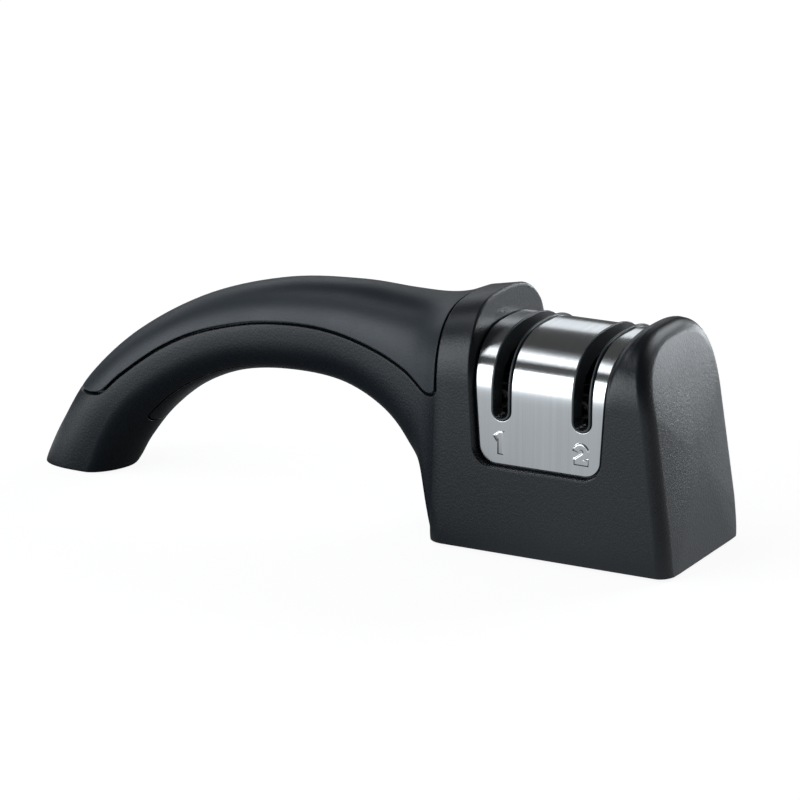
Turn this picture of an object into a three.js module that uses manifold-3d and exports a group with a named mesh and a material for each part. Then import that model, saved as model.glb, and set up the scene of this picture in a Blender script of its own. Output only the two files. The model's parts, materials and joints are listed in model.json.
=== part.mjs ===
// Two-stage hand knife sharpener: an arched handle that flares into a head with two knife slots.
// Millimetres, +Z up. X runs from the handle's tip to the head, the front is -Y, Z = 0 is the table.

import * as THREE from 'three';
import { mergeVertices } from 'three/addons/utils/BufferGeometryUtils.js';
import Module from 'manifold-3d';

const wasm = await Module();
wasm.setup();

// Fits
const seatGap = 0.3;            // between pieces that rest on or in each other
const runningGap = 0.25;        // between an axle and its bush, all round
const grooveWidth = 0.7;        // open groove round the grip
const coverGroove = 0.35;       // open groove round the underside cover
const linerFit = 0.15;          // between a slot liner and the steel

// Housing
const standHeight = 0.8;        // the feet lift the head by this much
const tipHeight = 0.2;          // and the pad the handle's tip
const housingWall = 2.2;
const headLeft = 32.6;          // left end of the head at its base
const headRight = 110.3;        // right end at its base, on the centre line
const baseWidth = 52;
const springWidth = 50;         // across the head where its sides turn into the crown
const springHeight = 45;
const shoulderTop = 71.9;       // at the edge of the recess
const shoulderSlope = 0.2;      // fall of the shoulder towards the handle
const endTop = 68.2;
const crownPower = 2.8;         // of the crown's rounding; 2 is an ellipse
const sidePower = 16;           // and of the head's lower edges
const cornerFillet = 4;         // round the head's right face
const cornerFilletLeft = 5.6;
const shoulderLean = 4.4;       // the left sections lean this much to the right at their top
const endLean = 0.165;          // inward lean of the right face for each millimetre of height
const endCrown = 0.75;          // bulge of the right face across its width
const endBow = 1.5;             // bulge of the right face up its height
const endTopFillet = 3.2;
const trimDepth = 2.5;          // how far the blank runs below the housing's base before it is trimmed

// Handle: top and under edges as x, z on the centre plane, and the shape of each section
const tipWidth = 26.4;
const handleWidth = 27;
const flared = (share) => handleWidth + (springWidth - handleWidth) * share;
const handleSections = [
  { top: [-108.3, -1.7], under: [-82.0, -1.7], width: tipWidth, widest: 0.42, powers: [2.6, 2.1] },
  { top: [-106.9, 3.0], under: [-79.8, 1.8], width: tipWidth, widest: 0.42, powers: [2.6, 2.1] },
  { top: [-101.6, 13.6], under: [-75.2, 9.2], width: tipWidth, widest: 0.43, powers: [2.6, 2.2] },
  { top: [-91.6, 29.2], under: [-66.6, 19.6], width: handleWidth, widest: 0.44, powers: [2.6, 2.3] },
  { top: [-74.9, 44.7], under: [-55.0, 29.2], width: handleWidth, widest: 0.45, powers: [2.5, 2.4] },
  { top: [-52.5, 57.5], under: [-39.5, 36.4], width: handleWidth, widest: 0.47, powers: [2.4, 2.5] },
  { top: [-27.0, 65.2], under: [-22.5, 39.1], width: handleWidth, widest: 0.48, powers: [2.4, 2.6] },
  { top: [-3.0, 67.6], under: [-4.5, 38.0], width: handleWidth, widest: 0.48, powers: [2.4, 2.6] },
  { top: [13.5, 67.1], under: [10.0, 32.2], width: flared(0.13), widest: 0.5, powers: [2.5, 2.8] },
  { top: [24.0, 66.9], under: [20.6, 23.6], width: flared(0.37), widest: 0.54, powers: [2.6, 3.4] },
  { top: [31.0, 67.8], under: [28.4, 13.0], width: flared(0.67), widest: 0.6, powers: [2.7, 5] },
];
const stepsPerSection = 2;
const ringPoints = 28;
const cornerSteps = 4;          // facets in a quarter round
const endShares = [0.75, 0.4];  // inner rings of the right face, as shares of its rim

// Grip on top of the handle, seen from the front
const gripThickness = 2.2;
const gripRight = 35.7;
const gripTipHeight = 43.8;
const gripTipRadius = 2.2;
const gripTipTurn = 110;        // degrees that the round tip turns through
const gripEndHeight = 25.4;     // lower end, at the tip of the handle
const gripEdge = [
  [-87.5, 25.4], [-83.2, 26.6], [-75.9, 33.1], [-62.5, 42.9], [-48.6, 49.8],
  [-31.0, 54.7], [-14.8, 56.2], [-1.5, 55.2], [11.6, 52.2], [22.0, 48.7], [31.2, 44.5],
];

// Cover under the arch: from one section number to another, and the hollow that it closes
const coverFrom = 2.75;
const coverTo = 9.1;
const coverWidth = 15;
const coverEndRound = 7.5;      // length of the cover's rounded ends
const coverEndFlat = 4.4;       // width of the cover at its very ends
const coverThickness = 2;
const coverLedge = 1.6;
const coverSteps = 18;
const hollowDepth = 13;

// Steel saddle over the head, and the recess that it lies in
const steelThickness = 0.8;
const recessDepth = 2;               // of the steel's face below the head's sides
const steelWidth = springWidth - 2 * recessDepth;
const steelTop = 63.7;
const steelPower = 2.6;
const steelBottom = 26.6;
const steelCorner = 5;
const steelLeft = [49.4, 46.4];      // x at the steel's bottom and at the shoulder's top
const steelRight = [87.2, 89.7];
const recessMargin = 0.5;            // round the steel, on the recess floor
const recessDraft = 1.1;             // how much wider the recess is at its mouth
const recessRound = 4;               // round over the end's upper edge
const recessRoundGap = 1;            // from the steel to where that round starts
const archSteps = 16;

// Knife slots and their liners
const slotCentre = [56.2, 81.4];
const slotWidth = 6.1;
const slotBottom = 39.3;
const linerGap = 4.6;                // clear width for the blade
const linerLip = 0.6;                // lip on the steel, beside the slot
const linerLipHeight = 0.5;
const linerDepth = 5.2;              // from the steel's face to the liner's inner edge

// Sharpening wheels: two axles a stage, their wheels interleaved
const wheelRadius = 6;
const wheelThickness = 1.6;
const wheelGap = 0.4;                // between neighbours on opposite axles
const wheelsPerAxle = 3;
const wheelHubRadius = 3;
const rimSides = 18;
const rollerSides = 10;              // of the smaller round pieces on an axle
const edgeHalfAngle = 20;            // degrees, of the V that the wheels form
const axleRadius = 1.5;
const axleHeight = 42;

// Cradles that carry the axles
const uprightInside = 9;             // from the centre plane to an upright
const uprightThickness = 2.2;
const cradleWidth = 22;
const cradleFloor = 2;
const cradleTop = 46.4;
const bladeClearance = 2.6;          // under the edge, in the uprights' notch
const pegRadius = 1.6;
const pegSpacing = 12;
const bushWall = 1;
const bushFlange = 0.8;              // thickness and extra radius of a bush's flange

// Base plate, feet and screws
const plateThickness = 2.4;
const plateCorner = 4;
const endWall = 3.2;
const leftWall = 6.8;
const footRadius = 4.8;
const footSeat = 1;                  // depth of a foot in its pocket
const footEdge = 1.6;                // of plate beside a foot
const footPlaces = [54, 89.5];
const screwEdge = 1;                 // of plate beside a screw's head
const screwPlaces = [44, 99.5];
const bossRadius = 3.2;
const bossWeb = 1.6;                 // web from a boss to the side wall
const bossTop = 18;
const screwRadius = 1.3;
const screwLength = 9;
const screwSpare = 1;                // of pilot hole past a screw's point
const screwHeadRadius = 2.5;
const screwHeadHeight = 1.2;
const tipPadCentre = -94;
const tipPadLength = 16;
const tipPadWidth = 12;
const discSides = 12;                // of feet, bosses, screws and their holes

const housingPlastic = new THREE.MeshStandardMaterial({ color: 0x2c2f32, roughness: 0.6, metalness: 0 });
const softGrip = new THREE.MeshStandardMaterial({ color: 0x34373b, roughness: 0.75, metalness: 0 });
const glossPlastic = new THREE.MeshStandardMaterial({ color: 0x0d0e10, roughness: 0.15, metalness: 0 });
const brushedSteel = new THREE.MeshStandardMaterial({ color: 0xc9ccce, roughness: 0.3, metalness: 1 });
const axleSteel = new THREE.MeshStandardMaterial({ color: 0xb4b7ba, roughness: 0.25, metalness: 1 });
const coarseDiamond = new THREE.MeshStandardMaterial({ color: 0x8c8f92, roughness: 0.7, metalness: 0.6 });
const fineDiamond = new THREE.MeshStandardMaterial({ color: 0xa8abad, roughness: 0.55, metalness: 0.6 });
const innerPlastic = new THREE.MeshStandardMaterial({ color: 0x3c3f43, roughness: 0.6, metalness: 0 });
const bushPlastic = new THREE.MeshStandardMaterial({ color: 0xe4e2da, roughness: 0.5, metalness: 0 });
const footRubber = new THREE.MeshStandardMaterial({ color: 0x1c1d1e, roughness: 0.9, metalness: 0 });

const sharpener = new THREE.Group();
const far = 200;                     // past the object on every side

// Solids and meshes
function toSolid(geometry) {
  let bare = geometry.index ? geometry.clone() : geometry;
  bare.deleteAttribute('normal');
  bare.deleteAttribute('uv');
  bare = mergeVertices(bare, 1e-5);
  const mesh = new wasm.Mesh({
    numProp: 3,
    vertProperties: Float32Array.from(bare.attributes.position.array),
    triVerts: Uint32Array.from(bare.index.array),
  });
  return new wasm.Manifold(mesh);
}

function toGeometry(solid) {
  const mesh = solid.getMesh();
  const geometry = new THREE.BufferGeometry();
  geometry.setAttribute('position', new THREE.BufferAttribute(Float32Array.from(mesh.vertProperties), 3));
  geometry.setIndex(new THREE.BufferAttribute(Uint32Array.from(mesh.triVerts), 1));
  geometry.computeVertexNormals();
  return geometry;
}

function addPiece(name, solid, material) {
  const piece = new THREE.Mesh(toGeometry(solid), material);
  piece.name = name;
  sharpener.add(piece);
}

// Outlines are lists of [a, b] points; a prism stands on an outline along one axis
function prism(outline, axis, from, to) {
  const shape = new THREE.Shape(outline.map(([a, b]) => new THREE.Vector2(a, b)));
  const geometry = new THREE.ExtrudeGeometry(shape, { depth: to - from, bevelEnabled: false });
  if (axis === 'x') {
    const turn = new THREE.Matrix4().set(0, 0, 1, from, 1, 0, 0, 0, 0, 1, 0, 0, 0, 0, 0, 1);
    geometry.applyMatrix4(turn);
  } else if (axis === 'y') {
    const turn = new THREE.Matrix4().set(1, 0, 0, 0, 0, 0, -1, to, 0, 1, 0, 0, 0, 0, 0, 1);
    geometry.applyMatrix4(turn);
  } else {
    geometry.translate(0, 0, from);
  }
  return toSolid(geometry);
}

function arc(a, b, radius, from, to, steps) {
  return Array.from({ length: steps + 1 }, (_, i) => {
    const turn = THREE.MathUtils.degToRad(from + (to - from) * i / steps);
    return [a + radius * Math.cos(turn), b + radius * Math.sin(turn)];
  });
}

function circleOutline(a, b, radius, sides) {
  return arc(a, b, radius, 0, 360, sides).slice(0, sides);
}

function ellipseOutline(a, b, length, width) {
  return circleOutline(0, 0, 1 / 2, 2 * discSides).map(([u, v]) => [a + length * u, b + width * v]);
}

function box(x0, x1, y0, y1, z0, z1) {
  return prism([[x0, y0], [x1, y0], [x1, y1], [x0, y1]], 'z', z0, z1);
}

// A counter-clockwise outline moved outwards by a distance
function offsetOutline(outline, distance) {
  return outline.map(([a, b], i) => {
    const [pa, pb] = outline.at(i - 1);
    const [na, nb] = outline[(i + 1) % outline.length];
    const before = new THREE.Vector2(b - pb, pa - a).normalize();
    const after = new THREE.Vector2(nb - b, a - na).normalize();
    const mitre = before.clone().add(after).divideScalar(1 + before.dot(after));
    return [a + mitre.x * distance, b + mitre.y * distance];
  });
}

// A skin over rings of equal length, closed by a fan at each end
function loft(rings) {
  const count = rings[0].length;
  const points = rings.flat();
  const faces = [];
  for (let r = 0; r + 1 < rings.length; r += 1) {
    for (let i = 0; i < count; i += 1) {
      const a = r * count + i;
      const b = r * count + (i + 1) % count;
      faces.push(a, b, b + count, a, b + count, a + count);
    }
  }
  for (const [start, flip] of [[0, true], [(rings.length - 1) * count, false]]) {
    const centre = new THREE.Vector3();
    for (let i = 0; i < count; i += 1) centre.addScaledVector(points[start + i], 1 / count);
    const hub = points.push(centre) - 1;
    for (let i = 0; i < count; i += 1) {
      const a = start + i;
      const b = start + (i + 1) % count;
      faces.push(...(flip ? [b, a, hub] : [a, b, hub]));
    }
  }
  const geometry = new THREE.BufferGeometry().setFromPoints(points);
  geometry.setIndex(faces);
  return toSolid(geometry);
}

// One section of the housing: an egg on the line from its under edge to its top edge
function sectionRing(section, inset = 0) {
  const under = new THREE.Vector2(...section.under);
  const top = new THREE.Vector2(...section.top);
  const along = top.clone().sub(under);
  const height = along.length();
  along.normalize();
  const half = section.width / 2 - inset;
  const widest = section.widest * height;
  const above = height - widest - inset;
  const below = widest - inset;
  const [topPower, underPower] = section.powers;
  const ring = [];
  for (let i = 0; i < ringPoints; i += 1) {
    const angle = 2 * Math.PI * i / ringPoints;
    const c = Math.cos(angle);
    const s = Math.sin(angle);
    const power = s >= 0 ? topPower : underPower;
    const rise = Math.sign(s) * Math.abs(s) ** (2 / power) * (s >= 0 ? above : below);
    const taper = s < 0 ? 1 + (section.flare ?? 0) * -rise / widest : 1;
    const across = Math.sign(c) * Math.abs(c) ** (2 / power) * half * taper;
    const at = under.clone().addScaledVector(along, widest + rise);
    ring.push(new THREE.Vector3(at.x, across, at.y));
  }
  return ring;
}

// The head's own sections: upright, with straight sides, then a crown
const headUnder = standHeight - trimDepth;
const headPowers = [crownPower, sidePower];
const headFlare = (baseWidth / springWidth - 1) * (springHeight - headUnder) / springHeight;

function headSection(topX, topZ, underX, width, flare) {
  const widest = (springHeight - headUnder) / (topZ - headUnder);
  return { top: [topX, topZ], under: [underX, headUnder], width, widest, powers: headPowers, flare };
}

const leftSections = [0, 30, 60, 90].map((degrees) => {
  const turn = THREE.MathUtils.degToRad(degrees);
  const x = headLeft + cornerFilletLeft * (1 - Math.cos(turn));
  const inset = cornerFilletLeft * (1 - Math.sin(turn));
  const flare = headFlare - 2 * inset / springWidth;
  const topX = x + shoulderLean;
  return headSection(topX, shoulderTop - shoulderSlope * (steelLeft[1] - topX), x, springWidth, flare);
});
const shoulderSection = headSection(steelLeft[1], shoulderTop, steelLeft[1], springWidth, headFlare);

const endSections = [0, 30, 60, 90].map((degrees) => {
  const turn = THREE.MathUtils.degToRad(degrees);
  const out = Math.sin(turn);
  const drop = 1 - Math.cos(turn);
  const baseX = headRight + endLean * trimDepth - endCrown - cornerFillet * (1 - out);
  const topZ = endTop - endTopFillet * drop;
  const topX = headRight - endCrown - endLean * (topZ - standHeight) - endTopFillet * (1 - out);
  return headSection(topX, topZ, baseX, springWidth - 2 * cornerFillet * drop, headFlare);
});

// Handle sections are blended smoothly along their numbers
const mainSections = [...handleSections, leftSections[0]];
const blend = (read) => {
  const curve = new THREE.CatmullRomCurve3(mainSections.map(read), false, 'catmullrom', 0.5);
  return (number) => curve.getPoint(number / (mainSections.length - 1));
};
const topAt = blend((s) => new THREE.Vector3(s.top[0], s.width, s.top[1]));
const underAt = blend((s) => new THREE.Vector3(s.under[0], s.widest, s.under[1]));
const shapeAt = blend((s) => new THREE.Vector3(s.powers[0], s.powers[1], s.flare ?? 0));

function sectionAt(number) {
  const top = topAt(number);
  const under = underAt(number);
  const shape = shapeAt(number);
  return {
    top: [top.x, top.z], under: [under.x, under.z], width: top.y, widest: under.y,
    powers: [shape.x, shape.y], flare: shape.z,
  };
}

function handleRange(from, to, steps) {
  return Array.from({ length: steps + 1 }, (_, i) => sectionAt(from + (to - from) * i / steps));
}

const lastHandle = mainSections.length - 1;
const wholeHandle = handleRange(0, lastHandle, lastHandle * stepsPerSection);
const bodySections = [...wholeHandle, ...leftSections.slice(1), shoulderSection];
const bodyRings = bodySections.map((section) => sectionRing(section));
const bowAt = (z) => {
  const share = THREE.MathUtils.clamp(z / endTop, 0, 1);
  return 4 * endBow * share * (1 - share);
};
const bowedRings = endSections.map((section) => (
  sectionRing(section).map((p) => p.setX(p.x + bowAt(p.z)))
));

// The right face inside its rim: leaning, bowed up its height and crowned across
const endRim = bowedRings.at(-1);
const endMiddle = endRim.reduce((sum, p) => sum + p.z / ringPoints, 0);
const endRings = endShares.map((share) => endRim.map((p) => {
  const z = endMiddle + (p.z - endMiddle) * share;
  const flat = headRight - endCrown - endLean * (z - standHeight) + bowAt(z);
  return new THREE.Vector3(flat + endCrown * (1 - share * share), p.y * share, z);
}));

const blank = loft([...bodyRings, ...bowedRings, ...endRings])
  .subtract(box(-far, 0, -far, far, -far, tipHeight))
  .subtract(box(0, far, -far, far, -far, standHeight));

// Grip outline from the front; its edge follows the handle and drops to a round tip at the head
function gripOutline(grow) {
  const edge = new THREE.SplineCurve(gripEdge.map(([x, z]) => new THREE.Vector2(x, z)));
  const lower = edge.getPoints(2 * (gripEdge.length - 1)).map((p) => [p.x, p.y]);
  const tipZ = gripTipHeight + gripTipRadius;
  const tip = arc(gripRight - gripTipRadius, tipZ, gripTipRadius, -gripTipTurn, 0, cornerSteps + 1);
  const outline = [[-far, gripEndHeight], ...lower, ...tip, [gripRight, far], [-far, far]];
  return offsetOutline(outline, grow);
}

const gripCore = (inset) => {
  const sections = [...wholeHandle, ...leftSections.slice(1)];
  return loft(sections.map((section) => sectionRing(section, inset)));
};
const gripBlank = prism(gripOutline(0), 'y', -far, far).intersect(blank);
const topGrip = gripBlank.subtract(gripCore(gripThickness));
const gripPocket = prism(gripOutline(grooveWidth), 'y', -far, far)
  .subtract(gripCore(gripThickness + seatGap));

// Strips that follow the arch's underside, with round ends; grown by some millimetres all round
const underPoint = (number) => new THREE.Vector2(...sectionAt(number).under);
const sectionLength = (number) => underPoint(number + 0.5).distanceTo(underPoint(number - 0.5));

function underStrip(grow, outside, inside) {
  const from = coverFrom - grow / sectionLength(coverFrom);
  const to = coverTo + grow / sectionLength(coverTo);
  const numbers = Array.from({ length: coverSteps + 1 }, (_, i) => {
    const share = (1 - Math.cos(Math.PI * i / coverSteps)) / 2;
    return from + (to - from) * share;
  });
  const rings = numbers.map((number) => {
    const section = sectionAt(number);
    const under = new THREE.Vector2(...section.under);
    const along = new THREE.Vector2(...section.top).sub(under).normalize();
    const fromEnd = Math.min(under.distanceTo(underPoint(from)), under.distanceTo(underPoint(to)));
    const short = 1 - Math.min(fromEnd / coverEndRound, 1);
    const half = (coverEndFlat + (coverWidth - coverEndFlat) * Math.sqrt(1 - short * short)) / 2 + grow;
    const corners = [[half, inside], [-half, inside], [-half, -outside], [half, -outside]];
    return corners.map(([y, depth]) => {
      const at = under.clone().addScaledVector(along, depth);
      return new THREE.Vector3(at.x, y, at.y);
    });
  });
  return loft(rings);
}

const underCover = underStrip(0, coverThickness, coverThickness).intersect(blank);
const coverPocket = underStrip(coverGroove, coverThickness * 2, coverThickness + seatGap);
const handleHollow = underStrip(-coverLedge, coverThickness, hollowDepth);

// Arches over the head, as y, z outlines
function archOutline(baseHalf, springHalf, top, power, bottom) {
  const crown = Array.from({ length: archSteps + 1 }, (_, i) => {
    const turn = Math.PI * i / archSteps;
    const c = Math.cos(turn);
    const y = Math.sign(c) * springHalf * Math.abs(c) ** (2 / power);
    return [y, springHeight + (top - springHeight) * Math.sin(turn) ** (2 / power)];
  });
  return [[-baseHalf, bottom], [baseHalf, bottom], ...crown];
}

function steelArch(inset) {
  const half = steelWidth / 2 - inset;
  return prism(archOutline(half, half, steelTop - inset, steelPower, -far), 'x', -far, far);
}

// The saddle from the front: upright edges that lean apart upwards, and round lower corners
function saddleOutline(grow) {
  const top = shoulderTop + recessRound;
  const leanLeft = (steelLeft[1] - steelLeft[0]) / (shoulderTop - steelBottom);
  const leanRight = (steelRight[1] - steelRight[0]) / (shoulderTop - steelBottom);
  const outline = [
    ...arc(steelLeft[0] + steelCorner, steelBottom + steelCorner, steelCorner, 180, 270, cornerSteps),
    ...arc(steelRight[0] - steelCorner, steelBottom + steelCorner, steelCorner, 270, 360, cornerSteps),
    [steelRight[0] + leanRight * (top - steelBottom), top],
    [steelLeft[0] + leanLeft * (top - steelBottom), top],
  ];
  return offsetOutline(outline, grow);
}

// A knife slot from the front: round at its lower end, open at the top
function slotOutline(centre, half) {
  const round = arc(centre, slotBottom + slotWidth / 2, half, 180, 360, 2 * cornerSteps);
  return [...round, [centre + half, far], [centre - half, far]];
}

const slotCut = (centre, half) => prism(slotOutline(centre, half), 'y', -far, far);

// Recess for the saddle, wider at its mouth and rounded over the end's upper edge
const recessFloor = steelThickness + seatGap;
const mouth = (side) => {
  const ring = (grow, y) => saddleOutline(grow).map(([x, z]) => new THREE.Vector3(x, side * y, z));
  const floor = ring(recessMargin, steelWidth / 2 - recessDepth);
  const rings = [floor, ring(recessMargin + recessDraft, baseWidth / 2)];
  return loft(side > 0 ? rings.reverse() : rings);
};
const roundX = steelRight[1] + recessRoundGap + recessRound;
const overEdge = prism([
  [steelRight[1] - recessRound, endTop + recessRound], [steelRight[1] - recessRound, endTop - recessRound],
  ...arc(roundX, endTop - recessRound, recessRound, 180, 90, cornerSteps + 2),
  [roundX, endTop + recessRound],
], 'y', -far, far);
const recess = prism(saddleOutline(recessMargin), 'y', -far, far)
  .add(mouth(1)).add(mouth(-1)).add(overEdge).subtract(steelArch(recessFloor));

// Hollow of the head: follows the housing at its wall's distance, also round the recess
const cavityHalf = baseWidth / 2 - housingWall;
const cavityRight = headRight - endCrown - endWall;
const cavityLeft = headLeft + leftWall;
const cavitySide = prism([
  [cavityLeft, -far], [cavityRight + far * endLean, -far],
  [cavityRight - far * endLean, far], [cavityLeft, far],
], 'y', -far, far);
const cavitySpring = springWidth / 2 - housingWall;
const cavityArch = archOutline(cavityHalf, cavitySpring, endTop - housingWall, crownPower, 0);
const recessWall = prism(saddleOutline(recessMargin + housingWall), 'y', -far, far)
  .subtract(steelArch(recessFloor + housingWall));
const headHollow = prism(cavityArch, 'x', -far, far).intersect(cavitySide).subtract(recessWall);

// Base plate and what it carries
const plateTop = standHeight + plateThickness;
const plateHalf = cavityHalf - (cavityHalf - cavitySpring) * plateTop / springHeight - seatGap;
const plateRight = cavityRight - endLean * plateTop - seatGap;
const plateLeft = cavityLeft + seatGap;
const bothSides = (places, y) => places.flatMap((x) => [[x, -y], [x, y]]);
const feet = bothSides(footPlaces, plateHalf - footRadius - footEdge);
const screws = bothSides(screwPlaces, plateHalf - screwHeadRadius - screwEdge);

function roundedPlate(x0, x1, half, radius, z0, z1) {
  const centres = [[x1 - radius, half - radius, 0], [x0 + radius, half - radius, 90],
    [x0 + radius, radius - half, 180], [x1 - radius, radius - half, 270]];
  const outline = centres.flatMap(([x, y, from]) => arc(x, y, radius, from, from + 90, cornerSteps));
  return prism(outline, 'z', z0, z1);
}

function disc(x, y, radius, z0, z1) {
  return prism(circleOutline(x, y, radius, discSides), 'z', z0, z1);
}

const footTop = standHeight + footSeat;
const padTop = tipHeight + footSeat;
let basePlate = roundedPlate(plateLeft, plateRight, plateHalf, plateCorner, standHeight, plateTop);
for (const [x, y] of feet) {
  basePlate = basePlate.subtract(disc(x, y, footRadius + seatGap, -far, footTop + seatGap));
}
for (const [x, y] of screws) {
  const headSeat = standHeight + screwHeadHeight;
  basePlate = basePlate.subtract(disc(x, y, screwHeadRadius + seatGap, -far, headSeat));
  basePlate = basePlate.subtract(disc(x, y, screwRadius + seatGap, -far, far));
}
for (const centre of slotCentre) {
  for (const side of [-1, 1]) {
    basePlate = basePlate.subtract(disc(centre, side * pegSpacing / 2, pegRadius + seatGap, -far, far));
  }
}

// Housing: hollowed blank with its recess, slots, pockets and screw bosses
let housing = blank.subtract(headHollow).subtract(recess).subtract(gripPocket);
housing = housing.subtract(coverPocket).subtract(handleHollow);
for (const centre of slotCentre) housing = housing.subtract(slotCut(centre, slotWidth / 2));
for (const [x, y] of screws) {
  const wallY = Math.sign(y) * (cavityHalf + housingWall / 2);
  const [near, away] = [Math.min(y, wallY), Math.max(y, wallY)];
  const web = box(x - bossWeb / 2, x + bossWeb / 2, near, away, plateTop + seatGap, bossTop);
  const boss = disc(x, y, bossRadius, plateTop + seatGap, bossTop).add(web);
  housing = housing.add(boss.intersect(blank));
}
for (const [x, y] of screws) {
  const pilotTop = standHeight + screwLength + screwSpare;
  housing = housing.subtract(disc(x, y, screwRadius + seatGap / 2, -far, pilotTop));
}
const padOutline = (grow) => (
  ellipseOutline(tipPadCentre, 0, tipPadLength + 2 * grow, tipPadWidth + 2 * grow)
);
housing = housing.subtract(prism(padOutline(seatGap), 'z', -far, padTop + seatGap));

addPiece('main_housing', housing, housingPlastic);
addPiece('top_grip', topGrip, softGrip);
addPiece('underside_cover', underCover, housingPlastic);

// Steel saddle and slot liners
let saddle = steelArch(0).subtract(steelArch(steelThickness));
saddle = saddle.intersect(prism(saddleOutline(0), 'y', -far, far));
for (const centre of slotCentre) saddle = saddle.subtract(slotCut(centre, slotWidth / 2));
addPiece('steel_saddle', saddle, brushedSteel);

slotCentre.forEach((centre, i) => {
  const sleeve = steelArch(-linerFit).subtract(steelArch(linerDepth));
  const lip = steelArch(-linerLipHeight - linerFit).subtract(steelArch(-linerFit));
  const liner = sleeve.intersect(slotCut(centre, slotWidth / 2 - linerFit))
    .add(lip.intersect(slotCut(centre, slotWidth / 2 + linerLip)))
    .subtract(slotCut(centre, linerGap / 2));
  addPiece(`slot_liner_${i + 1}`, liner, glossPlastic);
});

addPiece('base_plate', basePlate, innerPlastic);
feet.forEach(([x, y], i) => addPiece(`foot_${i + 1}`, disc(x, y, footRadius, 0, footTop), footRubber));
addPiece('tip_pad', prism(padOutline(0), 'z', 0, padTop), footRubber);
screws.forEach(([x, y], i) => {
  const head = disc(x, y, screwHeadRadius, standHeight, standHeight + screwHeadHeight - seatGap);
  const shank = disc(x, y, screwRadius, standHeight + screwHeadHeight / 2, standHeight + screwLength);
  addPiece(`base_screw_${i + 1}`, head.add(shank), axleSteel);
});

// Sharpening stages: round pieces lie along Y
function roller(x, y0, y1, radius, sides = rollerSides) {
  return prism(circleOutline(x, axleHeight, radius, sides), 'y', y0, y1);
}

const axleOffset = wheelRadius * Math.cos(THREE.MathUtils.degToRad(edgeHalfAngle));
const edgeHeight = axleHeight + wheelRadius * Math.sin(THREE.MathUtils.degToRad(edgeHalfAngle));
const wheelPitch = 2 * (wheelThickness + wheelGap);
const uprightOutside = uprightInside + uprightThickness;
const cradleBottom = plateTop + seatGap;
const bushRadius = axleRadius + runningGap + bushWall;
const endPlay = seatGap / 2;

slotCentre.forEach((centre, index) => {
  const stage = index + 1;
  const abrasive = index === 0 ? coarseDiamond : fineDiamond;
  let cradle = prism([
    [-uprightOutside, cradleBottom], [uprightOutside, cradleBottom], [uprightOutside, cradleTop],
    [uprightInside, cradleTop], [uprightInside, cradleBottom + cradleFloor],
    [-uprightInside, cradleBottom + cradleFloor], [-uprightInside, cradleTop], [-uprightOutside, cradleTop],
  ], 'x', centre - cradleWidth / 2, centre + cradleWidth / 2);
  const notch = [centre - linerGap / 2, centre + linerGap / 2];
  cradle = cradle.subtract(box(...notch, -far, far, edgeHeight - bladeClearance, far));
  for (const side of [-1, 1]) {
    const peg = disc(centre, side * pegSpacing / 2, pegRadius, standHeight, cradleBottom + cradleFloor / 2);
    cradle = cradle.add(peg);
    cradle = cradle.subtract(roller(centre + side * axleOffset, -far, far, bushRadius + seatGap / 2));
  }
  addPiece(`wheel_cradle_${stage}`, cradle, innerPlastic);

  for (const [side, name] of [[-1, 'left'], [1, 'right']]) {
    const x = centre + side * axleOffset;
    const bore = roller(x, -far, far, axleRadius + runningGap);
    const label = `${stage}_${name}`;
    addPiece(`axle_${label}`, roller(x, -uprightOutside, uprightOutside, axleRadius), axleSteel);
    for (const [end, place] of [[-1, 'front'], [1, 'back']]) {
      const inner = end * (uprightInside - bushFlange);
      const face = end * (uprightInside - seatGap / 2);
      const outer = end * uprightOutside;
      const flange = roller(x, Math.min(inner, face), Math.max(inner, face), bushRadius + bushFlange);
      const sleeve = roller(x, Math.min(inner, outer), Math.max(inner, outer), bushRadius);
      addPiece(`bush_${label}_${place}`, flange.add(sleeve).subtract(bore), bushPlastic);
    }
    const packShift = side * wheelPitch / 4;
    for (let i = 0; i < wheelsPerAxle; i += 1) {
      const y = packShift + (i - (wheelsPerAxle - 1) / 2) * wheelPitch;
      const rim = roller(x, y - wheelThickness / 2, y + wheelThickness / 2, wheelRadius, rimSides);
      const hub = roller(x, y - wheelPitch / 2 + endPlay, y + wheelPitch / 2 - endPlay, wheelHubRadius);
      addPiece(`wheel_${label}_${i + 1}`, rim.add(hub).subtract(bore), abrasive);
    }
    const packHalf = wheelsPerAxle * wheelPitch / 2;
    const flangeFace = uprightInside - bushFlange;
    const washerSpan = [packShift * side + packHalf, flangeFace].map((y) => y * side);
    const spacerSpan = [packShift * side - packHalf, -flangeFace].map((y) => y * side);
    for (const [piece, span] of [['thrust_washer', washerSpan], ['spacer', spacerSpan]]) {
      const [from, to] = [Math.min(...span) + endPlay, Math.max(...span) - endPlay];
      addPiece(`${piece}_${label}`, roller(x, from, to, wheelHubRadius).subtract(bore), axleSteel);
    }
  }
});

// The origin lies on the table under the middle of the object
const extent = new THREE.Box3().setFromObject(sharpener);
sharpener.position.x = -(extent.min.x + extent.max.x) / 2;

export default sharpener;
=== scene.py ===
import json
import math

import bmesh
import bpy
from mathutils import Matrix, Vector


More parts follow.
